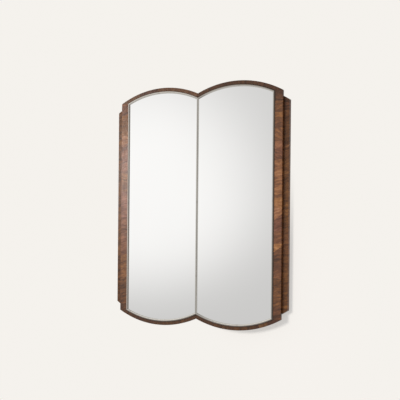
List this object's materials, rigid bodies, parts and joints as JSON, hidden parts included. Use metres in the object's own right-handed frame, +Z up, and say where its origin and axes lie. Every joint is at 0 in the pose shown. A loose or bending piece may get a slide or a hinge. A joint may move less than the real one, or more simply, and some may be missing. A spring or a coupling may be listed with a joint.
{
  "type": "wall mirror",
  "caption": "Wall mirror: a flat double-arched walnut frame holds side-by-side mirror panes edged in half-round metal bead, on a set-back carcass that shows as wings at the sides.",
  "frame": {"origin": "middle of the wall clip's row of screw holes, on the wall plane behind the mirror", "axes": "+X to the viewer's right, +Y into the wall, +Z up"},
  "size_m": [0.849, 0.0398, 1.08],
  "materials": {
    "walnut_veneer": "cross-banded walnut veneer under a satin lacquer",
    "birch_ply": "bare birch plywood, sanded",
    "mirror_glass": "silvered float glass with a grey painted back",
    "mounting_tape": "closed-cell foam mounting tape",
    "nickel_bead": "nickel plate with a soft polish",
    "beech_dowel": "turned beech",
    "zinc_screw": "bright zinc plate",
    "clip_metal": "mill-finish extrusion",
    "felt_pad": "dense dark felt"
  },
  "bodies": {
    "root": {"stile_left": "walnut_veneer", "stile_right": "walnut_veneer", "arch_rail_top_left": "walnut_veneer", "arch_rail_top_right": "walnut_veneer", "arch_rail_bottom_left": "walnut_veneer", "arch_rail_bottom_right": "walnut_veneer", "ground_panel": "birch_ply", "pane_left": "mirror_glass", "pane_right": "mirror_glass", "pane_tape_left": "mounting_tape", "pane_tape_right": "mounting_tape", "bead_side_left": "nickel_bead", "bead_side_right": "nickel_bead", "bead_top_left": "nickel_bead", "bead_top_right": "nickel_bead", "bead_bottom_left": "nickel_bead", "bead_bottom_right": "nickel_bead", "bead_centre": "nickel_bead", "wing_left": "walnut_veneer", "wing_right": "walnut_veneer", "carcass_top_rail": "birch_ply", "carcass_bottom_rail": "birch_ply", "centre_mullion": "birch_ply", "hanging_rail": "birch_ply", "lower_cross_rail": "birch_ply", "carcass_dowels": "beech_dowel", "panel_screws": "zinc_screw", "clip_mirror_half": "clip_metal", "clip_wall_half": "clip_metal", "clip_screws": "zinc_screw", "wall_pads": "felt_pad"}
  },
  "joints": []
}
